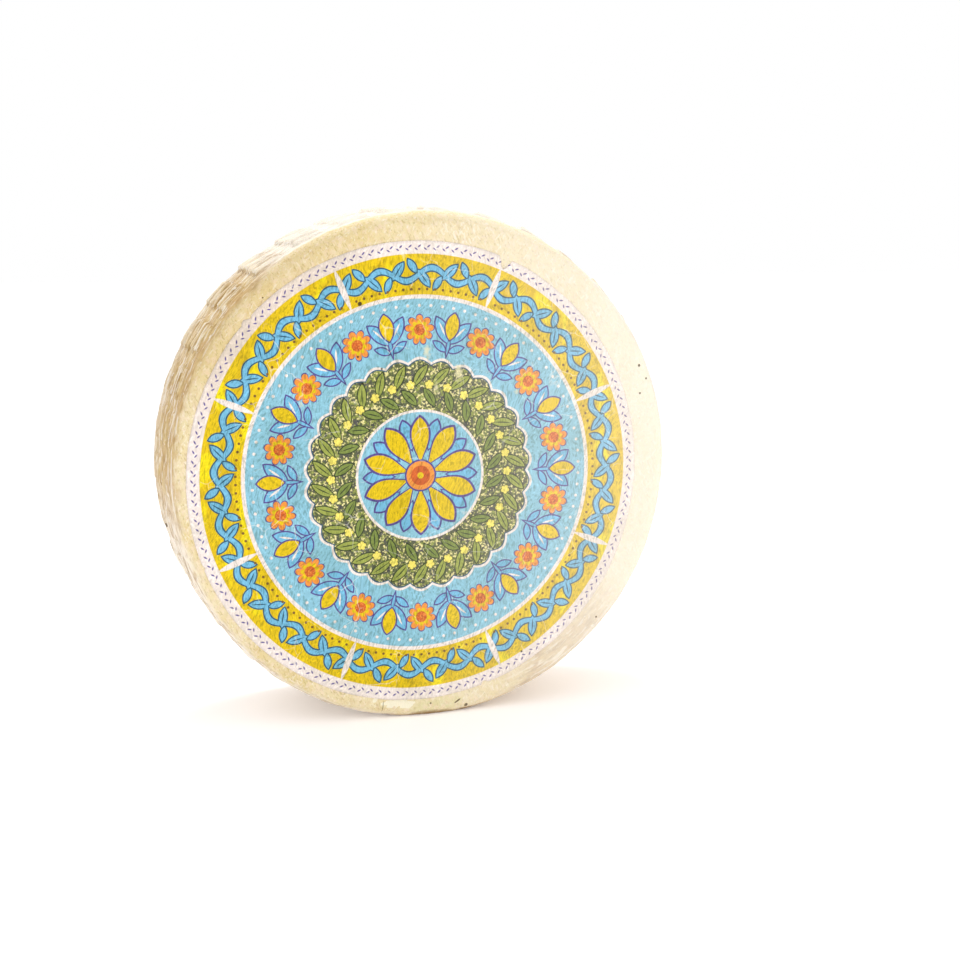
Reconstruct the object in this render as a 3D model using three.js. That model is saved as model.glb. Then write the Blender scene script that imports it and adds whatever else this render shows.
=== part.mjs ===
// A whole wheel of aged hard cheese that stands on its rim, with a round printed label on its front face.
//
// The wheel is a short drum: two flat faces, rounded shoulders, and a side wall that the mould has pressed
// into a row of panels, each with a few ridges that run along the rim. Its own weight has squashed a small
// flat spot where it stands, and the ridges fade out there. The label is a thin film stuck on the front
// face, a little off the wheel's centre.
//
// Units are millimetres, +Z is up. The wheel's axis lies along Y, the labelled face looks along -Y, and the
// origin is on the ground under the middle of the wheel with its label on.

import * as THREE from "three";

// Wheel
const WHEEL_RADIUS = 145;
const WHEEL_WIDTH = 89;
const SHOULDER_RADIUS = 8;
const SHOULDER_STEPS = 5;
const SIDE_BULGE = 0.6; // how much the side wall swells between its shoulders
const FLAT_DEPTH = 1.7; // how far the flat spot cuts into the rim

// Pressed panels on the side wall
const PANEL_COUNT = 34;
const PANEL_SHARE = 0.76; // of the panels' pitch, measured at their feet
const RIDGE_COUNT = 5;
const RIDGE_PITCH = 13.6;
const RIDGE_FOOT = 8.8;
const RIDGE_CREST = 5.6;
const RIDGE_HEIGHT = 1.4;
const FADE_START = 8; // degrees from the flat spot's middle where the ridges begin
const FADE_END = 22; // and where they have their full height

// Label
const LABEL_RADIUS = 131;
const LABEL_THICKNESS = 0.4;
const LABEL_GAP = 0.3;
const LABEL_OFFSET_X = -6.5;
const LABEL_OFFSET_Z = -2;
const LABEL_SEGMENTS = 96;

// Worked out from the sizes above
const AXLE_HEIGHT = WHEEL_RADIUS - FLAT_DEPTH;
const FACE_RADIUS = WHEEL_RADIUS - SHOULDER_RADIUS;
const HALF_WIDTH = WHEEL_WIDTH / 2;
const SIDE_HALF = HALF_WIDTH - SHOULDER_RADIUS;
const PANEL_PITCH = (2 * Math.PI) / PANEL_COUNT;
const COLUMNS_PER_PANEL = 4;
const COLUMN_COUNT = PANEL_COUNT * COLUMNS_PER_PANEL;

// The bare side wall's radius at a place across it.
function sideRadius(y) {
  return WHEEL_RADIUS + SIDE_BULGE * (1 - (y / SIDE_HALF) ** 2);
}

// One row of the profile: its radius, its place along the axis, and whether it runs on a ridge's crest.
function row(radius, y, crest = false) {
  return { radius, y, crest };
}

// One shoulder's rounding, from the face's edge to the side wall; `side` is -1 at the front, 1 at the back.
function shoulderRows(side) {
  return Array.from({ length: SHOULDER_STEPS + 1 }, (_, step) => {
    const turn = (step / SHOULDER_STEPS) * (Math.PI / 2);
    return row(
      FACE_RADIUS + SHOULDER_RADIUS * Math.sin(turn),
      side * (SIDE_HALF + SHOULDER_RADIUS * Math.cos(turn)),
    );
  });
}

// Each ridge has a foot line and a crest line on either side of its middle.
function ridgeRows() {
  const rows = [];
  for (let ridge = 0; ridge < RIDGE_COUNT; ridge++) {
    const middle = (ridge - (RIDGE_COUNT - 1) / 2) * RIDGE_PITCH;
    for (const [offset, crest] of [
      [-RIDGE_FOOT / 2, false],
      [-RIDGE_CREST / 2, true],
      [RIDGE_CREST / 2, true],
      [RIDGE_FOOT / 2, false],
    ]) {
      rows.push(row(sideRadius(middle + offset), middle + offset, crest));
    }
  }
  return rows;
}

// Each panel has a foot column and a crest column on either side of its middle. Angles run from the top of
// the wheel, where two panels meet.
function columnAt(index) {
  const middle = (Math.floor(index / COLUMNS_PER_PANEL) + 0.5) * PANEL_PITCH;
  const footHalf = (PANEL_SHARE * PANEL_PITCH) / 2;
  const crestHalf = footHalf - (RIDGE_FOOT - RIDGE_CREST) / 2 / WHEEL_RADIUS;
  const [offset, crest] = [
    [-footHalf, false],
    [-crestHalf, true],
    [crestHalf, true],
    [footHalf, false],
  ][index % COLUMNS_PER_PANEL];
  return { angle: middle + offset, crest };
}

// How much of its height a ridge keeps at an angle: none on the flat spot, all of it further up.
function ridgeShare(angle) {
  const fromFlat = THREE.MathUtils.radToDeg(Math.abs(angle - Math.PI));
  return THREE.MathUtils.smoothstep(fromFlat, FADE_START, FADE_END);
}

function makeWheelGeometry() {
  const rows = [
    row(0, -HALF_WIDTH),
    ...shoulderRows(-1),
    ...ridgeRows(),
    ...shoulderRows(1).reverse(),
    row(0, HALF_WIDTH),
  ];
  const profile = rows.map(({ radius, y }) => new THREE.Vector2(radius, y));
  const geometry = new THREE.LatheGeometry(profile, COLUMN_COUNT);
  const position = geometry.getAttribute("position");
  for (let index = 0; index <= COLUMN_COUNT; index++) {
    const column = columnAt(index);
    rows.forEach(({ radius, y, crest }, place) => {
      const lift = crest && column.crest ? RIDGE_HEIGHT * ridgeShare(column.angle) : 0;
      const reach = radius + lift;
      position.setXYZ(
        index * rows.length + place,
        reach * Math.sin(column.angle),
        y,
        Math.max(reach * Math.cos(column.angle), -AXLE_HEIGHT),
      );
    });
  }
  geometry.computeVertexNormals();
  return geometry;
}

function makeWheel() {
  const rind = new THREE.MeshStandardMaterial({
    color: "#e9d8a8",
    roughness: 0.62,
    metalness: 0,
  });
  const wheel = new THREE.Mesh(makeWheelGeometry(), rind);
  wheel.name = "cheese_wheel";
  return wheel;
}

function makeLabel() {
  const film = new THREE.MeshStandardMaterial({
    color: "#9fcfdc",
    roughness: 0.5,
    metalness: 0,
  });
  const disc = new THREE.CylinderGeometry(
    LABEL_RADIUS,
    LABEL_RADIUS,
    LABEL_THICKNESS,
    LABEL_SEGMENTS,
  );
  const label = new THREE.Mesh(disc, film);
  label.name = "label";
  label.position.set(
    LABEL_OFFSET_X,
    -(HALF_WIDTH + LABEL_GAP + LABEL_THICKNESS / 2),
    LABEL_OFFSET_Z,
  );
  return label;
}

const cheese = new THREE.Group();
cheese.add(makeWheel(), makeLabel());
cheese.position.set(0, (LABEL_GAP + LABEL_THICKNESS) / 2, AXLE_HEIGHT);

export default cheese;
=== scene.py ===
"""A whole wheel of aged hard cheese that stands on its rim, with a worn round label on its front face.

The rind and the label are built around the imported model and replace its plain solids, and a small studio
shows them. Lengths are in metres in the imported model's frame: +Z is up, the wheel's axis lies along Y and the
label looks along -Y. The print and the finishes are laid out in millimetres. Angles round the wheel run from
its top, clockwise as seen from in front.
"""

import math

import bmesh
import bpy
from bpy.props import FloatProperty, FloatVectorProperty, IntProperty, PointerProperty
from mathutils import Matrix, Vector, noise


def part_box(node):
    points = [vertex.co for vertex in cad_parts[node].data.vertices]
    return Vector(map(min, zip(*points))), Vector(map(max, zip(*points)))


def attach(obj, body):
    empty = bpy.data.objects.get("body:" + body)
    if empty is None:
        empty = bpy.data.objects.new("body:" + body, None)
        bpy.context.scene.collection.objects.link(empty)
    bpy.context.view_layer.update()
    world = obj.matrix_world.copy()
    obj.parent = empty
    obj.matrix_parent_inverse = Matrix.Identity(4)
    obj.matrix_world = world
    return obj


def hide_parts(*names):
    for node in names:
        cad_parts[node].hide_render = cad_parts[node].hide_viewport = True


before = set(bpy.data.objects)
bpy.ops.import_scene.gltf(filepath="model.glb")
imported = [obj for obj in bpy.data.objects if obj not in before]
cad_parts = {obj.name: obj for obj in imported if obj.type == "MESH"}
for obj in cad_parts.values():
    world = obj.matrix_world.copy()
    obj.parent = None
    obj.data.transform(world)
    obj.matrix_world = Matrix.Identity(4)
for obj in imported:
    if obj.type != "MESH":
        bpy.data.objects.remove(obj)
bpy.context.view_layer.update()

bl_info = {
    "name": "Cheese wheel",
    "version": (1, 0, 0),
    "blender": (4, 5, 0),
    "location": "3D View > Sidebar > Cheese wheel",
    "description": "Makes a wheel of aged cheese with a printed label, and a studio to show it in",
    "category": "Add Mesh",
}

MM = 0.001
RELIEF_SEED = 5  # the noise with a direction is drawn anew in each run unless it has one

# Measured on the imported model
WHEEL_LOW, WHEEL_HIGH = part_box("cheese_wheel")
LABEL_LOW, LABEL_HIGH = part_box("label")
WHEEL_MIDDLE_Y = (WHEEL_LOW.y + WHEEL_HIGH.y) / 2
LABEL_MIDDLE = (LABEL_LOW + LABEL_HIGH) / 2
LABEL_RADIUS = (LABEL_HIGH.x - LABEL_LOW.x) / 2


def linear(hex_colour):
    """An sRGB hex colour as linear red, green and blue."""
    values = [int(hex_colour[i : i + 2], 16) / 255 for i in (1, 3, 5)]
    return tuple(v / 12.92 if v <= 0.04045 else ((v + 0.055) / 1.055) ** 2.4 for v in values)


# ---- Settings ----


def length(name, description, millimetres):
    """A length property, its default given in millimetres."""
    return FloatProperty(name=name, description=description, default=millimetres * MM, unit="LENGTH")


def colour(name, description, hex_colour):
    """A colour property, its default given as sRGB hex."""
    return FloatVectorProperty(
        name=name, description=description, default=linear(hex_colour), subtype="COLOR", min=0, max=1
    )


def watts(name, description, power):
    """A lamp's power property."""
    return FloatProperty(name=name, description=description, default=power, subtype="POWER")


def turned(name, description, degrees):
    """An angle property, its default given in degrees."""
    return FloatProperty(name=name, description=description, default=math.radians(degrees), unit="ROTATION")


class RindSettings(bpy.types.PropertyGroup):
    """Sizes and colours of the rind."""

    radius: length("Radius", "Wheel's radius at the edge of its side wall", 145)
    width: length("Width", "Between the two faces", (WHEEL_HIGH.y - WHEEL_LOW.y) / MM)
    shoulder: length("Shoulder", "Radius of the rounding between a face and the side wall", 8)
    bulge: length("Bulge", "How much the side wall swells in its middle", 0.6)
    flat: length("Flat spot", "How far the spot it stands on is pressed in", 1.7)
    panels: IntProperty(name="Panels", description="Pressed panels round the side wall", default=34)
    panel_share: FloatProperty(
        name="Panel share", description="Part of their pitch that panels fill", default=0.78, subtype="FACTOR"
    )
    ridges: IntProperty(name="Ridges", description="Ridges across each panel", default=5)
    ridge_pitch: length("Ridge pitch", "From one ridge's middle to the next", 13.6)
    ridge_width: length("Ridge width", "Of a ridge at its foot", 9.2)
    ridge_height: length("Ridge height", "Of a ridge over the side wall", 1.8)
    cream: colour("Cream", "Rind on the faces", "#e3d4ab")
    straw: colour("Straw", "Yellower patches on the faces", "#dbc78e")
    tan: colour("Tan", "Rind on the side wall", "#c6a878")
    # This brown is dirt in the hollows, and also painted shade in the side wall's grooves
    dirt_and_shade: colour("Dirt", "What has settled in the hollows", "#94703f")
    # This pale colour is dry flecks and rubbed crests, and also a painted highlight on the crests
    chalk_and_highlight: colour("Chalk", "Dry pale flecks and rubbed crests", "#f1e7d2")
    # This pale colour is dry bloom, and also painted light on the side wall's top, low at its left, and on the
    # front's right half
    bloom_and_painted_light: colour("Bloom", "Dry dust of the rind where it has been brushed least", "#efe8dc")
    peeled: colour("Peeled", "Paste that shows where the rind's coat has come off", "#efe8d0")


class LabelSettings(bpy.types.PropertyGroup):
    """Sizes and inks of the label."""

    thickness: length("Thickness", "Of the film", 0.22)
    gap: length("Gap", "Between the rind and the film's back", 0.05)
    paper: colour("Paper", "Unprinted film", "#e8dcd6")
    gold: colour("Gold", "Ink of the outer band", "#dcbc12")
    sky: colour("Sky", "Ink of the field", "#88bccf")
    azure: colour("Azure", "Ink of the vine and the buds", "#72b4d6")
    violet: colour("Violet", "Ink of the outlines", "#564b8c")
    slate: colour("Slate", "Ink of the vine's outline", "#2f5a74")
    olive: colour("Olive", "Ink of the wreath's ground", "#5f6644")
    leaf: colour("Leaf", "Ink of the wreath's leaves", "#98a14e")
    charcoal: colour("Charcoal", "Ink of the wreath's shade", "#4d4a50")
    orange: colour("Orange", "Ink of the daisies", "#e6913f")
    ember: colour("Ember", "Ink of the daisies' hearts", "#c85f28")


class StudioSettings(bpy.types.PropertyGroup):
    """The floor, the light and the camera."""

    floor_half: length("Floor", "Half of the floor's side", 6000)
    surround: FloatProperty(name="Surround", description="Strength of the light from all round", default=1.0)
    key: watts("Key", "Power of the light at the right", 1.1)
    top: watts("Top", "Power of the light above and a little behind", 4.2)
    low: watts("Low", "Power of the light at the lower left", 0.3)
    camera_distance: length("Camera distance", "From the label's middle", 874)
    camera_turn: turned("Camera turn", "Round the wheel, left is below zero", -15.74)
    camera_rise: turned("Camera rise", "Above level", 9.53)
    focal_px: FloatProperty(name="Focal length", description="In pixels of the square frame", default=1550)
    frame_px: FloatProperty(name="Frame", description="Side of the square frame in pixels", default=960)
    label_px_x: FloatProperty(name="Label at x", description="Pixel of the label's middle", default=420.7)
    label_px_y: FloatProperty(name="Label at y", description="Pixel of the label's middle", default=475.5)


# ---- Shapes ----

# Sectors, and steps in each, that the profiles are spun in, and rows of the profiles: close enough for the
# relief and within the triangle limit
RIND_SECTORS = 17
RIND_STEPS = 40
LABEL_SECTORS = 20
LABEL_STEPS = 25
LABEL_FRONT_ROWS = 86
LABEL_BACK_ROWS = 9
SIDE_ROWS = 70
SHOULDER_ROWS = 9
BORDER_ROWS = 15
HIDDEN_ROWS = 7
BACK_ROWS = 34
BORDER_START = 113 * MM  # from the axle, where the front face's close rows begin
FRONT_FROM = 30  # how far in front of the wheel's middle its front begins, in millimetres

# Where the coat has peeled off the front's lower edge: across, from the axle outwards, half sizes
PEEL_ACROSS = -22 * MM
PEEL_OUT = 136.4 * MM
PEEL_HALF_ACROSS = 10.5 * MM
PEEL_HALF_OUT = 2.9 * MM
PEEL_DEPTH = 0.55 * MM

# Degrees from the top between which the side wall's pattern is worn, and by how much
WORN_FROM = -150
WORN_TO = -63
WORN_BY = 0.55

LABEL_BED = 0.28 * MM  # how deep the rind is pressed in under the label

# Tears in the label's edge: degrees from the top, half width along the edge, how far in
LABEL_TEARS = (
    (22.8, 3.4, 5.6),
    (-47.8, 1.6, -1.6),
    (-46.0, 1.2, 1.1),
    (95.0, 1.8, 1.2),
    (163.0, 2.4, 1.4),
    (-110.0, 1.4, 0.9),
)


def smooth_step(value, low, high):
    """From 0 at low to 1 at high, eased at both ends."""
    share = min(max((value - low) / (high - low), 0.0), 1.0)
    return share * share * (3 - 2 * share)


def spaced(start, end, count):
    """Values from start to end, without the end."""
    return [start + (end - start) * i / count for i in range(count)]


def spin_profile(rows, axle_height, sectors, steps):
    """Spin a profile, given as (distance from the axle, place along Y), into a closed shell round the wheel's
    axis. One sector is spun, and then its copies, which is much quicker than all the steps at once."""
    shell = bmesh.new()
    tip = bmesh.ops.create_vert(shell, co=(0, rows[0][1], axle_height + rows[0][0]))["vert"][0]
    for reach, place in rows[1:]:
        tip = bmesh.ops.extrude_vert_indiv(shell, verts=[tip])["verts"][0]
        tip.co = (0, place, axle_height + reach)
    axle = {"cent": (0, 0, axle_height), "axis": (0, 1, 0)}
    sector = math.tau / sectors
    bmesh.ops.spin(shell, geom=shell.verts[:] + shell.edges[:], angle=sector, steps=steps, **axle)
    copies = {"angle": math.tau - sector, "steps": sectors - 1, "use_duplicate": True}
    bmesh.ops.spin(shell, geom=shell.verts[:] + shell.edges[:] + shell.faces[:], **copies, **axle)
    bmesh.ops.remove_doubles(shell, verts=shell.verts[:], dist=MM / 100)
    bmesh.ops.recalc_face_normals(shell, faces=shell.faces[:])
    shell.normal_update()
    return shell


def finish_piece(shell, name, material, node):
    """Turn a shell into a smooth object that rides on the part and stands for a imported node."""
    mesh = bpy.data.meshes.new(name)
    shell.to_mesh(mesh)
    shell.free()
    mesh.shade_smooth()
    mesh.materials.append(material)
    piece = bpy.data.objects.new(name, mesh)
    bpy.context.scene.collection.objects.link(piece)
    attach(piece, "root")
    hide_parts(node)
    return piece


def slump(place):
    """How far a face has sunk or swollen at a place, from ageing on a shelf."""
    return 0.45 * MM * noise.noise(place * 17) + 0.16 * MM * noise.noise(place * 52)


def rind_profile(sizes):
    """The wheel's outline from the middle of its front, over the side wall, to the middle of its back."""
    front = WHEEL_MIDDLE_Y - sizes.width / 2
    back = WHEEL_MIDDLE_Y + sizes.width / 2
    face_edge = sizes.radius - sizes.shoulder
    side_half = sizes.width / 2 - sizes.shoulder
    turns = spaced(0, math.pi / 2, SHOULDER_ROWS)
    bend = [(face_edge + sizes.shoulder * math.sin(t), sizes.shoulder * (1 - math.cos(t))) for t in turns]
    rows = [(reach, front) for reach in spaced(0, BORDER_START, HIDDEN_ROWS)]
    rows += [(reach, front) for reach in spaced(BORDER_START, face_edge, BORDER_ROWS)]
    rows += [(reach, front + depth) for reach, depth in bend]
    for across in spaced(-side_half, side_half, SIDE_ROWS):
        swell = sizes.bulge * (1 - (across / side_half) ** 2)
        rows.append((sizes.radius + swell, WHEEL_MIDDLE_Y + across))
    rows.append((sizes.radius, WHEEL_MIDDLE_Y + side_half))
    rows += [(reach, back - depth) for reach, depth in reversed(bend)]
    rows += [(reach, back) for reach in spaced(face_edge, 0, BACK_ROWS)[1:]]
    rows.append((0, back))
    return rows


def pressed_relief(turn, across, sizes):
    """The pressed pattern at an angle and a place across the side wall: how much of a ridge's height stands
    there, and how much of the place is a groove of a panel, both 0 to 1. Ridges differ a little by chance."""
    pitch = math.tau / sizes.panels
    panel = math.floor(turn / pitch)
    ridge = round(across / sizes.ridge_pitch)
    half_panel = sizes.panel_share * pitch * sizes.radius / 2
    sway = noise.noise_vector(Vector((turn * sizes.radius, across, 0.3)) * 130)
    along = (turn - (panel + 0.5) * pitch) * sizes.radius + 1.1 * MM * sway.x
    edge = (sizes.ridges // 2) * sizes.ridge_pitch + sizes.ridge_width / 2
    in_panel = smooth_step(half_panel - abs(along), -0.5 * MM, 1.5 * MM)
    in_panel *= smooth_step(edge - abs(across), -1 * MM, 2 * MM)
    if abs(ridge) > sizes.ridges // 2:
        return 0.0, in_panel
    chance = noise.cell_vector(Vector((panel + 0.5, ridge + 0.5, 4.5)))
    lean = noise.cell(Vector((panel + 0.5, 0.5, 9.5))) - 0.5
    along += 1.4 * MM * (chance.x - 0.5)
    beside = across - ridge * sizes.ridge_pitch + 0.8 * MM * sway.y + 1.0 * MM * (chance.y - 0.5)
    half_length = half_panel - 1.8 * MM * chance.z
    half_width = sizes.ridge_width / 2
    rounding = 1.8 * MM
    past_end = max(abs(along) - half_length + rounding, 0)
    past_side = max(abs(beside) - half_width + rounding, 0)
    flank = smooth_step(rounding - Vector((past_end, past_side)).length, 0, 1.5 * MM)
    middle = math.exp(-((beside / (0.9 * MM)) ** 2))
    crest = flank * (1 - 0.7 * middle) * (0.78 + 0.35 * chance.y) * (1 + 0.4 * lean * along / half_length)
    return crest, in_panel * (1 - min(crest * 1.4, 1))


def relief_left(turn):
    """How much of the pressed pattern wear has left at an angle, 0 to 1. It is pressed flat near the foot."""
    degrees = math.degrees(turn)
    worn = smooth_step(degrees, WORN_FROM - 12, WORN_FROM + 12)
    worn *= smooth_step(-degrees, -WORN_TO - 20, -WORN_TO + 20)
    foot = smooth_step(180 - abs(degrees), 8, 22)
    return (1 - WORN_BY * worn) * foot


def peel_share(place, axle_height):
    """How much of the coat has peeled off at a place on the front's lower edge, 0 to 1."""
    out = math.hypot(place.x, place.z - axle_height)
    if place.z > axle_height or place.y > WHEEL_MIDDLE_Y - FRONT_FROM * MM:
        return 0.0
    across = (place.x - PEEL_ACROSS) / PEEL_HALF_ACROSS
    rise = (out - PEEL_OUT) / PEEL_HALF_OUT
    ragged = 0.7 * noise.noise(place * 190) + 0.4 * noise.noise(place * 450)
    return smooth_step(1.0 - math.hypot(across, rise) + ragged, -0.05, 0.2)


def build_rind(sizes):
    """The rind's shell with its relief, and the shares that its finish is led by."""
    noise.seed_set(RELIEF_SEED)
    axle_height = sizes.radius - sizes.flat
    side_half = sizes.width / 2 - sizes.shoulder
    shell = spin_profile(rind_profile(sizes), axle_height, RIND_SECTORS, RIND_STEPS)
    crest_layer = shell.verts.layers.float.new("crest")
    groove_layer = shell.verts.layers.float.new("groove")
    peel_layer = shell.verts.layers.float.new("peel")
    label_at = Vector((LABEL_MIDDLE.x, 0, LABEL_MIDDLE.z))
    moves = []
    for vert in shell.verts:
        place = vert.co
        turn = math.atan2(place.x, place.z - axle_height)
        across = place.y - WHEEL_MIDDLE_Y
        peel = peel_share(place, axle_height)
        lift = slump(place) - PEEL_DEPTH * peel
        on_front = across < -side_half - sizes.shoulder + 1 * MM
        spot = Vector((place.x, 0, place.z)) - label_at
        if on_front and spot.length < LABEL_RADIUS:
            lift -= LABEL_BED * smooth_step(LABEL_RADIUS - spot.length, 3 * MM, 6 * MM)
        else:
            lift += (0.3 * MM * noise.noise(place * 110) + 0.16 * MM * noise.noise(place * 330)) * (1 - peel)
        wall = smooth_step(side_half + 3 * MM - abs(across), 0, 4 * MM)
        if wall > 0:
            left = relief_left(turn)
            crest, groove = pressed_relief(turn, across, sizes)
            streak = Vector((turn * sizes.radius * 90, across * 420, 2.7))
            lift += sizes.ridge_height * crest * left + wall * 0.75 * MM * noise.noise(streak)
            vert[crest_layer] = crest * left
            vert[groove_layer] = groove * left
        vert[peel_layer] = peel
        moves.append(vert.normal * lift)
    for vert, move in zip(shell.verts, moves):
        vert.co += move
        vert.co.z = max(vert.co.z, 0)
    return shell


def label_edge_shift(turn):
    """How far the label's edge lies out from its circle at an angle: rough cutting, and tears."""
    shift = 0.3 * MM * noise.noise(Vector((math.sin(turn), math.cos(turn), 0)) * 9)
    for degrees, half_width, depth in LABEL_TEARS:
        arc = (turn - math.radians(degrees)) * LABEL_RADIUS
        ragged = 1 + 0.35 * noise.noise(Vector((turn * 90, depth, 0)))
        shift -= depth * MM * ragged * (1 - smooth_step(abs(arc), 0.45 * half_width * MM, half_width * MM))
    return shift


def wrinkle(place):
    """How far the film stands off in its fine wrinkles at a place."""
    swirl = noise.noise_vector(place * 24) * 0.006
    fold = 1 - abs(noise.noise((place + swirl) * 34)) * 2.2
    where = smooth_step(noise.noise(place * 13 + Vector((3, 1, 7))), -0.1, 0.45)
    return 0.16 * MM * max(fold, 0) ** 5 * where


def build_label(sizes):
    """The label's film: a thin closed disc with a rough edge, laid over the rind's slump."""
    noise.seed_set(RELIEF_SEED)
    back = WHEEL_LOW.y - sizes.gap
    front = back - sizes.thickness
    rows = [(reach, front) for reach in spaced(0, LABEL_RADIUS, LABEL_FRONT_ROWS)]
    rows += [(LABEL_RADIUS, front), (LABEL_RADIUS, back)]
    rows += [(reach, back) for reach in spaced(LABEL_RADIUS, 0, LABEL_BACK_ROWS)[1:]]
    rows.append((0, back))
    shell = spin_profile(rows, LABEL_MIDDLE.z, LABEL_SECTORS, LABEL_STEPS)
    for vert in shell.verts:
        vert.co.x += LABEL_MIDDLE.x
        across = vert.co.x - LABEL_MIDDLE.x
        up = vert.co.z - LABEL_MIDDLE.z
        reach = math.hypot(across, up)
        turn = math.atan2(across, up)
        out = reach + label_edge_shift(turn) * smooth_step(reach, LABEL_RADIUS - 16 * MM, LABEL_RADIUS)
        x = LABEL_MIDDLE.x + out * math.sin(turn)
        z = LABEL_MIDDLE.z + out * math.cos(turn)
        spot = Vector((x, WHEEL_LOW.y, z))
        stand_off = slump(spot)
        if vert.co.y < (front + back) / 2:
            stand_off += wrinkle(spot)
        vert.co = (spot.x, vert.co.y - stand_off, spot.z)
    return shell


# ---- Finishes ----


def add_node(tree, kind, sockets=(), operation=None, output=0, **settings):
    """Add one node, set its properties, fill its input sockets and return one output socket. The inputs are
    given in their order, or by name or number, each as a value or as another node's output."""
    node = tree.nodes.new("ShaderNode" + kind)
    if operation:
        node.operation = operation
    for name, value in settings.items():
        setattr(node, name, value)
    for name, source in sockets.items() if isinstance(sockets, dict) else enumerate(sockets):
        if isinstance(source, bpy.types.NodeSocket):
            tree.links.new(source, node.inputs[name])
        else:
            node.inputs[name].default_value = source
    return node.outputs[output] if node.outputs else None


def start_material(name):
    """A new material and its empty tree."""
    material = bpy.data.materials.new(name)
    material.use_nodes = True
    material.node_tree.nodes.clear()
    return material, material.node_tree


def place_in_millimetres(tree, centre):
    """The surface's own coordinates in millimetres from a point of the part."""
    place = add_node(tree, "TexCoord", output="Object")
    location = [-c / MM for c in centre]
    return add_node(tree, "Mapping", {"Vector": place, "Location": location, "Scale": [1 / MM] * 3})


def blotches(tree, place, size, low, high, stretch=(1, 1, 1), detail=3.0, shift=0.0):
    """Patches of about a size in millimetres, 0 to 1, ending where the noise crosses low and high. They are
    drawn out along the axes where stretch is below 1."""
    at = add_node(tree, "Mapping", {"Vector": place, "Location": (shift, shift, shift), "Scale": stretch})
    rough = add_node(tree, "TexNoise", {"Vector": at, "Scale": 1 / size, "Detail": detail})
    return add_node(tree, "MapRange", [rough, low, high])


def lay_over(tree, under, over, share, amount=1.0, blend="MIX"):
    """One colour over another where share says, at most by amount. Each is a colour or a socket."""
    part = add_node(tree, "Math", [share, amount], "MULTIPLY")
    under, over = [tone if isinstance(tone, bpy.types.NodeSocket) else (*tone, 1.0) for tone in (under, over)]
    sockets = {0: part, 6: under, 7: over}
    return add_node(tree, "Mix", sockets, output=2, data_type="RGBA", blend_type=blend)


def coated(tree, tone, *layers):
    """A colour with layers over it, each given as its colour, where it lies, and at most how thickly."""
    for over, share, amount in layers:
        tone = lay_over(tree, tone, over, share, amount)
    return tone


def nearer(tree, *distances):
    """The smallest of some distances."""
    least = distances[0]
    for distance in distances[1:]:
        least = add_node(tree, "Math", [least, distance], "MINIMUM")
    return least


def away_from(tree, place, point, radius=0.0):
    """How far outside a ball round a point the place lies, in millimetres."""
    away = add_node(tree, "VectorMath", [place, point], "DISTANCE", output=1)
    return add_node(tree, "Math", [away, radius], "SUBTRACT")


def around_point(tree, place, point, none, full, most=1.0):
    """What lies round a point: nothing from none millimetres outwards, and the most from full inwards."""
    return add_node(tree, "MapRange", [away_from(tree, place, point), none, full, 0, most])


# What the rind shows in one place only, in millimetres from the middle of the wheel: across, along Y, up
# Round this point the side wall's darker finish reaches onto the front as painted shade
PAINTED_SHADE_LOWER_RIGHT = (86, -40, -112)
UPPER_LEFT_RIND_DARKER = (-98, -44, 98)
GREENED_RIND = (2, -44, -138)
WALL_PIT = (-142.5, 9.9, -32.5)
WALL_PIT_RADIUS = 1.2

# Small dark pits in the front border: across, up, radius
RIND_PITS = (
    (126.4, 56.2, 0.85),
    (131.2, 48.4, 0.65),
    (127.2, 39.9, 0.6),
    (101.5, -93.0, 0.6),
    (-93.5, 99.0, 0.45),
    (20.6, -139.6, 1.1),
    (-1.2, -136.2, 0.55),
)
# Slits there: across, up, half length, half width, slope in degrees with its right end the higher one
RIND_SLITS = ((15.0, -136.4, 2.2, 0.5, 34), (-29.6, -135.6, 3.4, 0.2, 84))
PIT_EDGE = (0.15, -0.25)  # how far outside a pit its dark begins, and where it is full
STREWN_CELL = 8  # spacing of the small pits that are strewn over the whole front

# Painted light on the side wall, in degrees from the top: where it is full and where it ends. It lies between
# the first two and between the last two.
PAINTED_LIGHT_EDGES = ((-32, -45), (50, 85), (-106, -90), (-172, -178))


def face_colour(tree, place, sizes):
    """Rind on the two faces: cream with straw patches, tan, rosy and olive mottling, and short pale strokes
    of the cheesecloth, which lean two ways."""
    leaning = add_node(tree, "Mapping", {"Vector": place, "Rotation": (0, math.radians(24), 0)})
    crossing = add_node(tree, "Mapping", {"Vector": place, "Rotation": (0, math.radians(-38), 0)})
    # The strokes lie thick in some places and thin in others
    strokes = blotches(tree, leaning, 1.0, 0.57, 0.65, (1, 1, 0.26), shift=77)
    thick = blotches(tree, place, 26, 0.38, 0.6, shift=41)
    strokes = add_node(tree, "Math", [strokes, thick], "MULTIPLY")
    rosy = linear("#eed9c6")
    olive = linear("#a3924a")
    return coated(
        tree,
        sizes.cream,
        (sizes.straw, blotches(tree, place, 24, 0.42, 0.64, detail=4), 0.7),
        (sizes.tan, blotches(tree, place, 2.4, 0.5, 0.68, detail=5, shift=31), 0.34),
        (rosy, blotches(tree, place, 2.2, 0.53, 0.61, (1, 1, 0.6), shift=19), 0.4),
        (olive, blotches(tree, leaning, 1.0, 0.58, 0.66, (1, 1, 0.35), shift=7), 0.42),
        (sizes.chalk_and_highlight, strokes, 0.75),
        (sizes.chalk_and_highlight, blotches(tree, crossing, 1.3, 0.6, 0.66, (1, 1, 0.34), shift=57), 0.6),
    )


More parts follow.
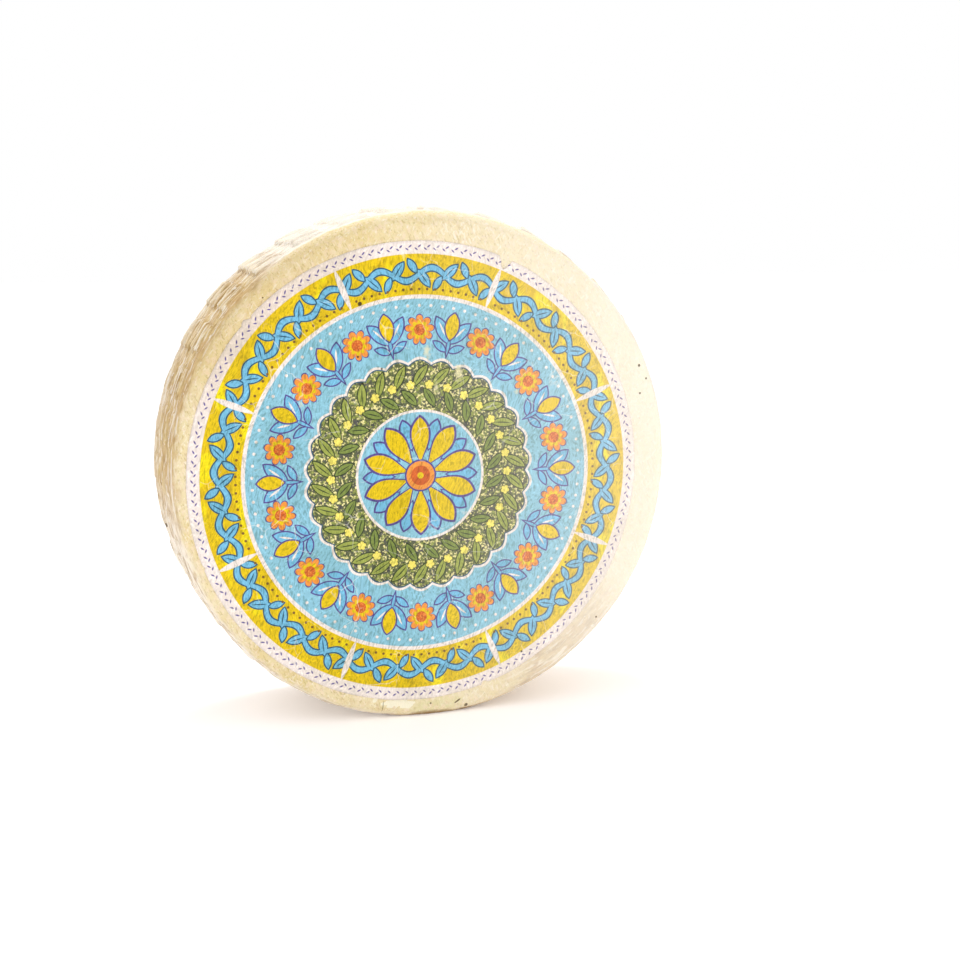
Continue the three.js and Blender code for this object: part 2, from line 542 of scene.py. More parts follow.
def wall_bloom_and_painted_light(tree, wall_place, sizes):
    """Where the side wall is painted pale, 0 to 1: painted light over its top and low at the left, and dry
    bloom thinly behind.
    """
    along, across, _ = add_node(tree, "SeparateXYZ", [wall_place]).node.outputs
    waver = add_node(tree, "TexNoise", {"Vector": wall_place, "Scale": 1 / 14, "Detail": 4})
    along = add_node(tree, "Math", [waver, 30, along], "MULTIPLY_ADD")
    along = add_node(tree, "Math", [along, 15], "SUBTRACT")
    degree = math.radians(1) * sizes.radius / MM
    edges = [add_node(tree, "MapRange", [along, none * degree, full * degree]) for full, none in PAINTED_LIGHT_EDGES]
    top = add_node(tree, "Math", edges[:2], "MULTIPLY")
    low = add_node(tree, "Math", edges[2:], "MULTIPLY")
    back = add_node(tree, "MapRange", [across, 0, 36, 0, 0.5])
    bloom_and_painted_light = add_node(tree, "Math", [top, low], "MAXIMUM")
    return add_node(tree, "Math", [bloom_and_painted_light, back], "MAXIMUM")


def wall_colour(tree, place, wall_place, sizes):
    """Rind on the side wall: tan, streaked and finely lined along the rim, with dirt and painted shade in the
    grooves, rubbed pale and painted with highlights on the crests, painted light over its top, and chipped."""
    crest = add_node(tree, "Attribute", output="Fac", attribute_name="crest")
    groove = add_node(tree, "Attribute", output="Fac", attribute_name="groove")
    groove_dirt_and_shade = blotches(tree, wall_place, 2.2, 0.4, 0.62, (0.3, 1, 1), detail=4, shift=23)
    dark_line = linear("#93733a")
    return coated(
        tree,
        sizes.tan,
        (sizes.straw, blotches(tree, place, 13, 0.42, 0.62, detail=4, shift=5), 0.45),
        # Painted light over the wall's top and low at its left, with a thin dry bloom behind
        (sizes.bloom_and_painted_light, wall_bloom_and_painted_light(tree, wall_place, sizes), 0.82),
        # Dirt in the grooves, and painted shade in them
        (sizes.dirt_and_shade, add_node(tree, "Math", [groove_dirt_and_shade, groove], "MULTIPLY"), 0.95),
        (sizes.dirt_and_shade, blotches(tree, wall_place, 1.7, 0.5, 0.68, (0.25, 1, 1), shift=3), 0.55),
        (dark_line, blotches(tree, wall_place, 2.1, 0.55, 0.6, (0.12, 1, 1), shift=37), 0.45),
        # Pale crests: partly rubbed, partly a painted highlight
        (sizes.chalk_and_highlight, add_node(tree, "MapRange", [crest, 0.55, 1.05]), 0.6),
        (sizes.chalk_and_highlight, blotches(tree, wall_place, 1.8, 0.56, 0.68, (0.28, 1, 1), shift=13), 0.6),
        (sizes.bloom_and_painted_light, blotches(tree, wall_place, 2.4, 0.57, 0.62, (0.13, 1, 1), shift=47), 0.6),
        (sizes.bloom_and_painted_light, blotches(tree, wall_place, 2.6, 0.65, 0.68, (0.5, 1, 1), detail=5, shift=63), 0.7),
    )


def pit_share(tree, place, across_y):
    """Where the rind has pits and slits, 0 to 1: in the front's border, strewn over the whole front, and one
    in the side wall."""
    flat_place = add_node(tree, "VectorMath", [place, (1, 0, 1)], "MULTIPLY")
    pits = [away_from(tree, flat_place, (across, 0, up), radius) for across, up, radius in RIND_PITS]
    for across, up, half_length, half_width, slope in RIND_SLITS:
        slit = {
            "Vector": flat_place,
            "Location": (across, 0, up),
            "Rotation": (0, -math.radians(slope), 0),
            "Scale": (half_length, 1, half_width),
        }
        slit = add_node(tree, "Mapping", slit, vector_type="TEXTURE")
        pits.append(away_from(tree, slit, (0, 0, 0), 1))
    # The strewn ones lie in less than half of the cells
    cells = add_node(tree, "TexVoronoi", {"Vector": flat_place, "Scale": 1 / STREWN_CELL}).node.outputs
    chance = add_node(tree, "SeparateColor", [cells["Color"]])
    size = add_node(tree, "MapRange", [chance, 0.6, 1, 0, 0.055])
    strewn = add_node(tree, "Math", [cells["Distance"], size], "SUBTRACT")
    strewn = add_node(tree, "Math", [strewn, STREWN_CELL, 0.12], "MULTIPLY_ADD")
    pit = add_node(tree, "MapRange", [nearer(tree, *pits, strewn), *PIT_EDGE])
    on_front = add_node(tree, "Math", [across_y, -FRONT_FROM], "LESS_THAN")
    pit = add_node(tree, "Math", [pit, on_front], "MULTIPLY")
    wall_pit = add_node(tree, "MapRange", [away_from(tree, place, WALL_PIT, WALL_PIT_RADIUS), *PIT_EDGE])
    return add_node(tree, "Math", [pit, wall_pit], "MAXIMUM")


def aged_rind(sizes):
    """Aged cheese rind, pressed in cloth and dried for months: to the eye a dry, matt cream skin, mottled by
    the short strokes of the cloth's threads, tan and rougher on the side wall, with dirt and painted shade in
    its hollows and its crests rubbed pale and painted with highlights. Painted light pales the side wall's top
    and the front's right half, and painted shade darkens the front's lower right and where it stands."""
    material, tree = start_material("aged_cheese_rind_cloth_pressed")
    place = place_in_millimetres(tree, (0, WHEEL_MIDDLE_Y, sizes.radius - sizes.flat))
    x, y, z = add_node(tree, "SeparateXYZ", [place]).node.outputs

    # The side wall's own coordinates: along the rim, across it, out from the axle. They meet at the foot.
    turn = add_node(tree, "Math", [x, z], "ARCTAN2")
    along = add_node(tree, "Math", [turn, sizes.radius / MM], "MULTIPLY")
    reach = add_node(tree, "VectorMath", [place, (1, 0, 1)], "MULTIPLY")
    reach = add_node(tree, "VectorMath", [reach], "LENGTH", output=1)
    wall_place = add_node(tree, "CombineXYZ", [along, y, reach])

    # Where the side wall's finish begins: on the shoulder, with an uneven edge, further onto the front at the
    # lower right as painted shade, and further back at the top
    waver = add_node(tree, "TexNoise", {"Vector": place, "Scale": 1 / 8, "Detail": 4})
    off_middle = add_node(tree, "Math", [y], "ABSOLUTE")
    off_middle = add_node(tree, "Math", [waver, 6, off_middle], "MULTIPLY_ADD")
    # Painted shade: the darker finish reaches onto the front at the lower right
    inwards = around_point(tree, place, PAINTED_SHADE_LOWER_RIGHT, 55, 25, 4)
    off_middle = add_node(tree, "Math", [off_middle, inwards], "SUBTRACT")
    upper = add_node(tree, "MapRange", [z, 106, 126])
    off_middle = add_node(tree, "Math", [upper, 4.8, off_middle], "MULTIPLY_ADD")
    wall_edge = (sizes.width / 2 - sizes.shoulder * 0.3) / MM + 3
    on_wall = add_node(tree, "MapRange", [off_middle, wall_edge + 1.2, wall_edge - 2.2])
    wall = wall_colour(tree, place, wall_place, sizes)
    # Painted light: the side wall is painted paler towards its top, as if lit more strongly from above
    wall = lay_over(tree, wall, sizes.bloom_and_painted_light, add_node(tree, "MapRange", [z, 112, 136]), 0.6)
    skin = lay_over(tree, face_colour(tree, place, sizes), wall, on_wall)

    # Painted light over the front's right half: the rind is painted paler there, as if lit more strongly from
    # the right
    right = add_node(tree, "MapRange", [x, -30, 120, 0, 0.7])
    front = add_node(tree, "MapRange", [y, -34, -42])
    skin = lay_over(tree, skin, sizes.bloom_and_painted_light, add_node(tree, "Math", [right, front], "MULTIPLY"))

    # The front is darker and a little yellower round a spot at the upper left
    upper_left_darker = around_point(tree, place, UPPER_LEFT_RIND_DARKER, 75, 38)
    upper_left_darker = add_node(tree, "Math", [upper_left_darker, front], "MULTIPLY")
    skin = lay_over(tree, skin, linear("#f5f0e6"), upper_left_darker, blend="MULTIPLY")

    # Greenish mottling on the lower edge, and painted shade in brown along where it stands
    green = away_from(tree, place, GREENED_RIND)
    green = add_node(tree, "Math", [waver, 18, green], "MULTIPLY_ADD")
    green = add_node(tree, "MapRange", [green, 27, 19])
    green = add_node(tree, "Math", [green, blotches(tree, place, 3, 0.42, 0.56, shift=91)], "MULTIPLY")
    foot = add_node(tree, "Math", [waver, 7, z], "MULTIPLY_ADD")
    foot = add_node(tree, "MapRange", [foot, -137.2, -139.6])
    skin = coated(tree, skin, (linear("#d3cf9a"), green, 0.45), (linear("#8a6a40"), foot, 0.85))

    # The peeled patch, its edge made ragged by a finer noise than the mesh carries, and the dark in the pits
    peel = add_node(tree, "Attribute", output="Fac", attribute_name="peel")
    frayed = add_node(tree, "TexNoise", {"Vector": place, "Scale": 1 / 1.1, "Detail": 4})
    peel = add_node(tree, "Math", [frayed, 0.7, peel], "MULTIPLY_ADD")
    peel = add_node(tree, "MapRange", [peel, 0.78, 0.86])
    pit = pit_share(tree, place, y)
    skin = coated(tree, skin, (sizes.peeled, peel, 1.0), (linear("#4d3a1c"), pit, 0.85))

    # Relief finer than the mesh: threads at 1.1 mm, drawn coarser than the cloth's own so that they show,
    # pores, the side wall's grain and the pits
    threads = {"Vector": place, "Scale": 0.29, "Distortion": 3.5, "Detail": 2}
    warp = add_node(tree, "TexWave", threads, output=1)
    weft = add_node(tree, "TexWave", threads, output=1, bands_direction="Z")
    cloth = add_node(tree, "Math", [warp, weft], "MULTIPLY")
    pores = add_node(tree, "TexNoise", {"Vector": place, "Scale": 1 / 1.6, "Detail": 6, "Roughness": 0.62})
    relief = add_node(tree, "Math", [cloth, 0.18, pores], "MULTIPLY_ADD")
    relief = add_node(tree, "Math", [pit, -1.5, relief], "MULTIPLY_ADD")
    grain = {"Vector": wall_place, "Scale": 1 / 2.4, "Detail": 5, "Roughness": 0.6}
    grain = add_node(tree, "Math", [add_node(tree, "TexNoise", grain), on_wall], "MULTIPLY")
    relief = add_node(tree, "Math", [grain, 1.3, relief], "MULTIPLY_ADD")
    surface = {
        "Base Color": skin,
        "Roughness": add_node(tree, "MapRange", [pores, 0.3, 0.7, 0.55, 0.8]),
        "IOR": 1.45,
        "Specular IOR Level": 0.25,
        "Subsurface Weight": 0.1,
        "Subsurface Radius": (1.0, 0.7, 0.4),
        "Subsurface Scale": 1.5 * MM,
        "Normal": add_node(tree, "Bump", {"Strength": 0.6, "Distance": 0.45 * MM, "Height": relief}),
    }
    add_node(tree, "OutputMaterial", {"Surface": add_node(tree, "BsdfPrincipled", surface)})
    return material


class Print:
    """Lays inks over each other on the label. A shape is a socket that holds its signed distance in
    millimetres, below zero inside it."""

    def __init__(self, tree, place, ground):
        """place is in millimetres from the label's middle, x to the right and z up."""
        self.tree = tree
        self.place = place
        self.ink = ground
        across, _, up = add_node(tree, "SeparateXYZ", [place]).node.outputs
        self.turn = add_node(tree, "Math", [across, up], "ARCTAN2")
        self.flat = add_node(tree, "CombineXYZ", [across, up])
        self.reach = add_node(tree, "VectorMath", [self.flat], "LENGTH", output=1)

    def lay(self, colour, shape, edge=0.14):
        """Print a colour over a shape, with an edge as soft as ink on fibre."""
        cover = add_node(self.tree, "MapRange", [shape, edge, -edge])
        self.ink = lay_over(self.tree, self.ink, colour, cover)

    def lay_outlined(self, colour, outline, shape, width):
        """Print a shape with an outline round it."""
        self.lay(outline, add_node(self.tree, "Math", [shape, width], "SUBTRACT"))
        self.lay(colour, shape)

    def within(self, radius):
        """Everything nearer to the middle than a radius."""
        return add_node(self.tree, "Math", [self.reach, radius], "SUBTRACT")

    def lobed(self, turn, count, radius, depth, roundness=None):
        """How far out the edge of a disc lies that swells into a number of lobes, notched to a depth."""
        lobe = add_node(self.tree, "Math", [turn, count / 2], "MULTIPLY")
        lobe = add_node(self.tree, "Math", [lobe], "COSINE")
        lobe = add_node(self.tree, "Math", [lobe], "ABSOLUTE")
        if roundness:
            lobe = add_node(self.tree, "Math", [lobe, roundness], "POWER")
        return add_node(self.tree, "Math", [lobe, depth, radius - depth], "MULTIPLY_ADD")

    def scallops(self, radius, count, depth):
        """A disc round the middle whose edge swells into a number of scallops."""
        edge = self.lobed(self.turn, count, radius, depth)
        return add_node(self.tree, "Math", [self.reach, edge], "SUBTRACT")

    def vine(self, radius, waves, height, width):
        """A stem that winds round the middle."""
        turn = add_node(self.tree, "Math", [self.turn, waves], "MULTIPLY")
        wave = add_node(self.tree, "Math", [turn], "SINE")
        line = add_node(self.tree, "Math", [wave, height, radius], "MULTIPLY_ADD")
        away = add_node(self.tree, "Math", [self.reach, line], "SUBTRACT")
        away = add_node(self.tree, "Math", [away], "ABSOLUTE")
        # The stem is slanted, so its distance is a little less than the one straight outwards
        away = add_node(self.tree, "Math", [away, 0.86], "MULTIPLY")
        return add_node(self.tree, "Math", [away, width / 2], "SUBTRACT")

    def around(self, count, radius, shift=0.0):
        """Coordinates from the nearest of some places evenly round a circle: x clockwise along it, y
        outwards. shift moves the places along, as a share of their spacing."""
        share = add_node(self.tree, "Math", [self.turn, count / math.tau, -shift], "MULTIPLY_ADD")
        share = add_node(self.tree, "Math", [share, 0.5, -0.5], "WRAP")
        along = add_node(self.tree, "Math", [share, math.tau * radius / count], "MULTIPLY")
        return add_node(self.tree, "CombineXYZ", [along, self.within(radius)])

    def paired(self, at):
        """The same coordinates mirrored, so that a shape at the right shows at the left too."""
        across, up, _ = add_node(self.tree, "SeparateXYZ", [at]).node.outputs
        return add_node(self.tree, "CombineXYZ", [add_node(self.tree, "Math", [across], "ABSOLUTE"), up])

    def dot(self, at, x, y, radius):
        """A round spot."""
        return away_from(self.tree, at, (x, y, 0), radius)

    def leaf(self, at, x, y, lean, length_mm, width_mm):
        """A leaf with two pointed ends: what two discs share. It leans by degrees, clockwise from upright."""
        half, wide = length_mm / 2, width_mm / 2
        radius = (half * half + wide * wide) / (2 * wide)
        aside = (radius - wide) * math.cos(math.radians(lean))
        down = (radius - wide) * math.sin(math.radians(lean))
        discs = [self.dot(at, x - aside, y + down, radius), self.dot(at, x + aside, y - down, radius)]
        return add_node(self.tree, "Math", discs, "MAXIMUM")

    def flower(self, at, petals, radius, depth):
        """A flower with rounded petals, notched to a depth between them."""
        across, up, _ = add_node(self.tree, "SeparateXYZ", [at]).node.outputs
        turn = add_node(self.tree, "Math", [across, up], "ARCTAN2")
        edge = self.lobed(turn, petals, radius, depth, 0.55)
        away = add_node(self.tree, "VectorMath", [at], "LENGTH", output=1)
        return add_node(self.tree, "Math", [away, edge], "SUBTRACT")


# The label's design, in millimetres from its middle: radii of its rings, how many of each motif go round it,
# and at what radius
MARGIN_IN = 123.8
BAND_IN = 100.4
WREATH_OUT = 67
HEART_OUT = 36
TWIGS, TWIG_AT = 150, 127.2
VINE_WAVES, VINE_AT = 24, 112.6
SPINDLES = 8
BERRIES, BERRIES_AT = 144, 104.4
DOTS, DOTS_AT = 90, 95.4
DAISIES, DAISIES_AT = 14, 82
SCALLOPS = 30
OUTER_LEAVES, OUTER_LEAVES_AT = 30, 56.5
INNER_LEAVES, INNER_LEAVES_AT = 24, 44.5
PETALS, PETALS_AT = 10, 20

# Marks on the label, in millimetres from its middle: where its margin is darker and a little yellower, and
# across, up and size of its rubbed spots, which are about twice as high as wide, and of its dark specks
UPPER_LEFT_MARGIN_DARKER = (-92, 0, 92)
WORN_SPOTS = ((4.1, 69.5, 2.2), (22.7, 57.2, 2.6), (9.8, 49.2, 1.8), (-67.0, 43.0, 1.2), (57.0, 46.0, 1.4))
WORN_SQUEEZE = 0.5
DARK_SPECKS = (
    (-33.8, 96.8, 1.15),
    (-35.3, 67.8, 0.6),
    (-21.8, 60.8, 0.5),
    (-32.7, 52.8, 0.5),
    (61.0, -108.0, 0.5),
)


def print_margin(press, inks):
    """The pale margin, darker and a little yellower round a spot at the upper left, and its violet twig: small
    leaves leaning outwards.
    """
    upper_left_darker = around_point(press.tree, press.place, UPPER_LEFT_MARGIN_DARKER, 75, 35)
    press.ink = lay_over(press.tree, press.ink, linear("#f3efe7"), upper_left_darker, blend="MULTIPLY")
    twig = press.around(TWIGS, TWIG_AT)
    upper = press.leaf(twig, 0.3, 0.75, 52, 2.5, 0.85)
    lower = press.leaf(twig, -1.6, -0.75, 128, 2.3, 0.8)
    press.lay(inks.violet, nearer(press.tree, upper, lower), 0.2)


def print_band(press, inks):
    """The golden band with its blue vine, pale spindles across it, and a row of small brown berries. The gold
    has soaked in unevenly in dull streaks, and its bright streaks are painted sheen."""
    tree, place = press.tree, press.place
    dull = linear("#c39f16")
    # Painted sheen: the bright streaks stand for light that the creased film catches
    bright = linear("#efdd0e")
    brown = linear("#7a5a2a")
    gold = coated(
        tree,
        inks.gold,
        (dull, blotches(tree, place, 8, 0.5, 0.68, (1, 1, 0.35), detail=4, shift=17), 0.5),
        (bright, blotches(tree, place, 13, 0.57, 0.64, (1, 1, 0.5), detail=2), 0.7),
    )
    press.lay(gold, press.within(MARGIN_IN))
    # Two leaves stand at each bend of the vine, and one of them has a rib
    shapes = [press.vine(VINE_AT, VINE_WAVES, 3.6, 2.5)]
    ribs = []
    for shift, side, lean, small_lean in ((0.25, -1, -38, 30), (0.75, 1, 218, 150)):
        bend = press.around(VINE_WAVES, VINE_AT, shift)
        shapes.append(press.leaf(bend, -4.6, side * 2.2, lean, 11.5, 4.4))
        shapes.append(press.leaf(bend, 3.6, side * 4.6, small_lean, 8.5, 3.4))
        ribs.append(press.leaf(bend, -4.6, side * 2.2, lean, 8.5, 0.7))
    press.lay_outlined(inks.azure, inks.slate, nearer(tree, *shapes), 0.75)
    for rib in ribs:
        press.lay(inks.slate, rib, 0.1)
    press.lay(brown, press.dot(press.around(BERRIES, BERRIES_AT), 0, 0, 0.75))
    press.lay(inks.paper, press.leaf(press.around(SPINDLES, VINE_AT, 0.5), 0, 0, 0, 25, 3.6))


def print_field(press, inks):
    """The sky-blue field with orange daisies, blue buds outlined in violet, and white dots."""
    tree = press.tree
    press.lay(inks.paper, press.within(BAND_IN + 1))
    press.lay(inks.sky, press.within(BAND_IN - 1.2))
    press.lay(inks.paper, press.dot(press.around(DOTS, DOTS_AT), 0, 0, 0.85))
    between = press.around(DAISIES, DAISIES_AT, 0.5)
    pair = press.paired(between)
    stalk = press.leaf(between, 0, -7.5, 0, 11, 1.6)
    side_buds = press.leaf(pair, 5.2, 0.6, 32, 15.5, 6.2)
    low_leaves = press.leaf(pair, 5.4, -8.6, 62, 9.5, 3.4)
    press.lay_outlined(inks.azure, inks.violet, nearer(tree, stalk, side_buds, low_leaves), 0.8)
    press.lay_outlined(inks.gold, inks.violet, press.leaf(between, 0, 3.2, 0, 15, 7.2), 0.8)
    press.lay(inks.paper, press.leaf(pair, 5.4, 1.2, 32, 8, 1.1), 0.1)
    daisies = press.around(DAISIES, DAISIES_AT)
    press.lay_outlined(inks.orange, inks.violet, press.flower(daisies, 9, 8.2, 3.4), 0.65)
    press.lay(inks.gold, press.flower(daisies, 9, 5.4, 2.2))
    hearts = lay_over(tree, inks.ember, inks.orange, blotches(tree, press.place, 0.9, 0.5, 0.6), 0.8)
    press.lay(hearts, press.dot(daisies, 0, 0, 3.2))


def print_wreath(press, inks):
    """The wreath: a mottled olive ground in a scalloped edge, with two rows of leaves and yellow sprigs."""
    tree, place = press.tree, press.place
    dark = linear("#343f2a")
    bright = linear("#eadf9c")
    moss = linear("#7b8a45")
    lemon = linear("#ecdc6a")
    ground = coated(
        tree,
        inks.olive,
        (inks.charcoal, blotches(tree, place, 5, 0.42, 0.62), 0.8),
        (inks.leaf, blotches(tree, place, 1.7, 0.5, 0.6, shift=9), 0.8),
        (bright, blotches(tree, place, 1.3, 0.54, 0.6, detail=4, shift=21), 0.95),
    )
    edge = press.scallops(WREATH_OUT, SCALLOPS, 3.0)
    press.lay(inks.paper, edge)
    press.lay(inks.slate, add_node(tree, "Math", [edge, 1.5], "ADD"))
    press.lay(ground, add_node(tree, "Math", [edge, 2.2], "ADD"))
    outer = press.around(OUTER_LEAVES, OUTER_LEAVES_AT)
    inner = press.around(INNER_LEAVES, INNER_LEAVES_AT, 0.5)
    for ink, at, lean, long, wide in ((inks.leaf, outer, 34, 14, 4.6), (moss, inner, -38, 12, 4.4)):
        press.lay_outlined(ink, dark, press.leaf(at, 0, 0, lean, long, wide), 0.6)
        press.lay(dark, press.leaf(at, 0, 0, lean, long - 3, 0.6), 0.1)
    sprigs = press.flower(press.around(OUTER_LEAVES, OUTER_LEAVES_AT - 5, 0.5), 5, 2.6, 1.1)
    press.lay_outlined(lemon, dark, sprigs, 0.35)


def print_heart(press, inks):
    """The middle: a blue disc with a golden flower, outlined in violet like the buds."""
    press.lay(inks.paper, press.within(HEART_OUT + 1.4))
    press.lay(inks.sky, press.within(HEART_OUT))
    between = press.around(PETALS, PETALS_AT + 4, 0.5)
    petals = press.around(PETALS, PETALS_AT)
    press.lay_outlined(inks.azure, inks.violet, press.leaf(between, 0, 0, 0, 17, 6.4), 0.9)
    press.lay_outlined(inks.gold, inks.violet, press.leaf(petals, 0, 0, 0, 26, 9.2), 1.0)
    press.lay_outlined(inks.orange, inks.violet, press.within(8.2), 1.0)
    press.lay(inks.ember, press.within(5.6))
    press.lay(inks.gold, press.within(1.8))


def worn_print(press):
    """The print's age, and light painted on it: an uneven stain of fat, the threads of the cloth beneath, pale
    lines along creases, partly scratched ink and partly painted highlight, rubbed spots and specks, and painted
    light that pales it towards the right. Returns the colour and where the creases are."""
    tree, place = press.tree, press.place
    stain = blotches(tree, place, 30, 0.42, 0.68, detail=4)
    skin = lay_over(tree, press.ink, linear("#dfe0d2"), stain, 0.45, "MULTIPLY")

    # Threads of the cloth, drawn at 1 mm where the real ones are finer, so that they show; slanted, and bent
    # as they were laid. They show less on the unprinted margin.
    bend = add_node(tree, "TexNoise", {"Vector": place, "Scale": 1 / 38, "Detail": 1}, output=1)
    bend = add_node(tree, "VectorMath", {0: bend, 3: 26.0}, "SCALE")
    laid = add_node(tree, "VectorMath", [place, bend], "ADD")
    laid = add_node(tree, "Mapping", {"Vector": laid, "Rotation": (0, math.radians(-14), 0)})
    dark_threads = blotches(tree, laid, 1.0, 0.5, 0.62, (1, 1, 0.3), shift=15)
    inked = add_node(tree, "MapRange", [press.reach, MARGIN_IN + 1, MARGIN_IN - 1, 0.35])
    dark_threads = add_node(tree, "Math", [dark_threads, inked], "MULTIPLY")
    skin = lay_over(tree, skin, linear("#b0b8ac"), dark_threads, 0.6, "MULTIPLY")
    pale_threads = blotches(tree, laid, 1.0, 0.52, 0.64, (1, 1, 0.3), shift=45)
    skin = lay_over(tree, skin, linear("#7c7c7c"), pale_threads, 0.75, "DODGE")
    cross_threads = blotches(tree, laid, 1.0, 0.54, 0.64, (0.4, 1, 1), shift=65)
    skin = lay_over(tree, skin, linear("#616161"), cross_threads, 0.8, "DODGE")

    # Painted light: the print is painted paler towards the right, as if lit more strongly there
    across = add_node(tree, "SeparateXYZ", [place])
    painted_light_right = add_node(tree, "MapRange", [across, -10, 125])
    skin = lay_over(tree, skin, linear("#f0e6da"), painted_light_right, 0.2)

    bent = add_node(tree, "TexNoise", {"Vector": place, "Scale": 1 / 14, "Detail": 3}, output=1)
    bent = add_node(tree, "VectorMath", {0: bent, 3: 11.0}, "SCALE")
    bent = add_node(tree, "VectorMath", [place, bent], "ADD")
    crease = add_node(tree, "TexVoronoi", {"Vector": bent, "Scale": 1 / 17}, feature="DISTANCE_TO_EDGE")
    crease = add_node(tree, "MapRange", [crease, 0.018, 0.004])
    crease = add_node(tree, "Math", [crease, blotches(tree, place, 22, 0.5, 0.62, shift=71)], "MULTIPLY")

    # The rubbed spots are measured on a squeezed label
    squeezed = add_node(tree, "VectorMath", [press.flat, (1, WORN_SQUEEZE, 1)], "MULTIPLY")
    worn = nearer(tree, *[press.dot(squeezed, x, z * WORN_SQUEEZE, size) for x, z, size in WORN_SPOTS])
    ragged = add_node(tree, "TexNoise", {"Vector": place, "Scale": 1 / 2.6, "Detail": 4})
    worn = add_node(tree, "Math", [ragged, 7, worn], "MULTIPLY_ADD")
    speck = nearer(tree, *[press.dot(press.flat, *spot) for spot in DARK_SPECKS])
    skin = coated(
        tree,
        skin,
        # Pale lines along the creases: partly scratched ink, partly a painted highlight
        (linear("#fdf8ee"), crease, 0.32),
        (linear("#dfd7ae"), add_node(tree, "MapRange", [worn, 3.6, 1.8]), 0.7),
        (linear("#2e211c"), add_node(tree, "MapRange", [speck, 0.3, -0.2]), 0.9),
    )
    return skin, crease


def printed_film(inks):
    """Thin printed film bonded to the rind and aged with it: to the eye a satin, slightly fibrous print, with
    faint creases, rubbed spots and specks, its colours softened unevenly by the cheese's fat, with painted
    sheen in its gold and painted light paling its right side."""
    material, tree = start_material("label_film_printed_and_worn")
    place = place_in_millimetres(tree, LABEL_MIDDLE)
    press = Print(tree, place, inks.paper)
    for layer in (print_margin, print_band, print_field, print_wreath, print_heart):
        layer(press, inks)
    skin, crease = worn_print(press)
    grain = add_node(tree, "TexNoise", {"Vector": place, "Scale": 1 / 1.5, "Detail": 5, "Roughness": 0.6})
    relief = add_node(tree, "Math", [crease, 0.6, grain], "MULTIPLY_ADD")
    surface = {
        "Base Color": skin,
        "Roughness": add_node(tree, "MapRange", [grain, 0.3, 0.7, 0.42, 0.6]),
        "IOR": 1.47,
        "Specular IOR Level": 0.2,
        "Normal": add_node(tree, "Bump", {"Strength": 0.4, "Distance": 0.22 * MM, "Height": relief}),
    }
    add_node(tree, "OutputMaterial", {"Surface": add_node(tree, "BsdfPrincipled", surface)})
    return material


def lit_board():
    """Matt white board, faintly lit from below: to the eye an even white that takes a soft shadow."""
    material, tree = start_material("matt_white_light_table")
    place = add_node(tree, "TexCoord", output="Object")
    grain = add_node(tree, "TexNoise", {"Vector": place, "Scale": 5, "Detail": 3})
    surface = {
        "Base Color": lay_over(tree, linear("#f8f6f6"), linear("#f6f4f4"), grain),
        "Roughness": 0.85,
        "Specular IOR Level": 0.1,
        "Emission Color": (*linear("#fffaf8"), 1),
        "Emission Strength": 0.19,
    }
    add_node(tree, "OutputMaterial", {"Surface": add_node(tree, "BsdfPrincipled", surface)})
    return material


# ---- Studio ----

# Each lamp's name, place, what it looks at, side of its square, and tint
LAMPS = (
    ("key", (0.6, -0.5, 0.4), (0, 0, LABEL_MIDDLE.z), 0.5, "#fffdf9"),
    ("top", (0, 0.38, 1.0), (0, 0, 0.24), 0.3, "#fffefc"),
    ("low", (-0.35, -0.5, 0.03), (-0.05, -0.05, 0.03), 0.2, "#fffefc"),
)
SENSOR_WIDTH = 36
AIMING_STEPS = 20


def add_light(name, at, towards, size, tint, power):
    """A soft square light that looks at a point."""
    lamp = bpy.data.lights.new(name, "AREA")
    lamp.shape = "SQUARE"
    lamp.size = size
    lamp.energy = power
    lamp.color = linear(tint)
    light = bpy.data.objects.new(name, lamp)
    bpy.context.scene.collection.objects.link(light)
    light.location = at
    light.rotation_euler = (Vector(towards) - Vector(at)).to_track_quat("-Z", "Y").to_euler()


def aim_camera(studio):
    """A level camera whose view puts the label's middle on its pixel of the square frame."""
    lens = bpy.data.cameras.new("camera")
    lens.sensor_width = SENSOR_WIDTH
    lens.lens = lens.sensor_width * studio.focal_px / studio.frame_px
    lens.clip_start = 0.01
    camera = bpy.data.objects.new("camera", lens)
    bpy.context.scene.collection.objects.link(camera)
    turn, rise = studio.camera_turn, studio.camera_rise
    away = Vector((math.sin(turn) * math.cos(rise), -math.cos(turn) * math.cos(rise), math.sin(rise)))
    target = Vector((LABEL_MIDDLE.x, LABEL_LOW.y, LABEL_MIDDLE.z))
    camera.location = target + away * studio.camera_distance
    wanted_x = (studio.label_px_x - studio.frame_px / 2) / studio.focal_px
    wanted_y = (studio.frame_px / 2 - studio.label_px_y) / studio.focal_px
    look = -away
    for _ in range(AIMING_STEPS):
        turned_by = look.to_track_quat("-Z", "Y")
        seen = turned_by.inverted() @ (target - camera.location)
        miss = Vector((seen.x / -seen.z - wanted_x, seen.y / -seen.z - wanted_y, 0))
        look = (look + turned_by @ miss).normalized()
    camera.rotation_euler = look.to_track_quat("-Z", "Y").to_euler()
    bpy.context.scene.camera = camera


def build_studio(studio):
    """The floor, the surrounding light, three lamps and the camera."""
    board = bmesh.new()
    bmesh.ops.create_grid(board, x_segments=1, y_segments=1, size=studio.floor_half)
    mesh = bpy.data.meshes.new("floor")
    board.to_mesh(mesh)
    board.free()
    mesh.materials.append(lit_board())
    floor = bpy.data.objects.new("floor", mesh)
    floor.location.z = -0.1 * MM
    bpy.context.scene.collection.objects.link(floor)

    scene = bpy.context.scene
    scene.world = bpy.data.worlds.new("surround")
    scene.world.use_nodes = True
    sky = scene.world.node_tree.nodes["Background"]
    sky.inputs["Color"].default_value = (1, 1, 1, 1)
    sky.inputs["Strength"].default_value = studio.surround
    scene.view_settings.view_transform = "Standard"
    for lamp in LAMPS:
        add_light(*lamp, getattr(studio, lamp[0]))
    aim_camera(studio)


# ---- Operators and panel ----


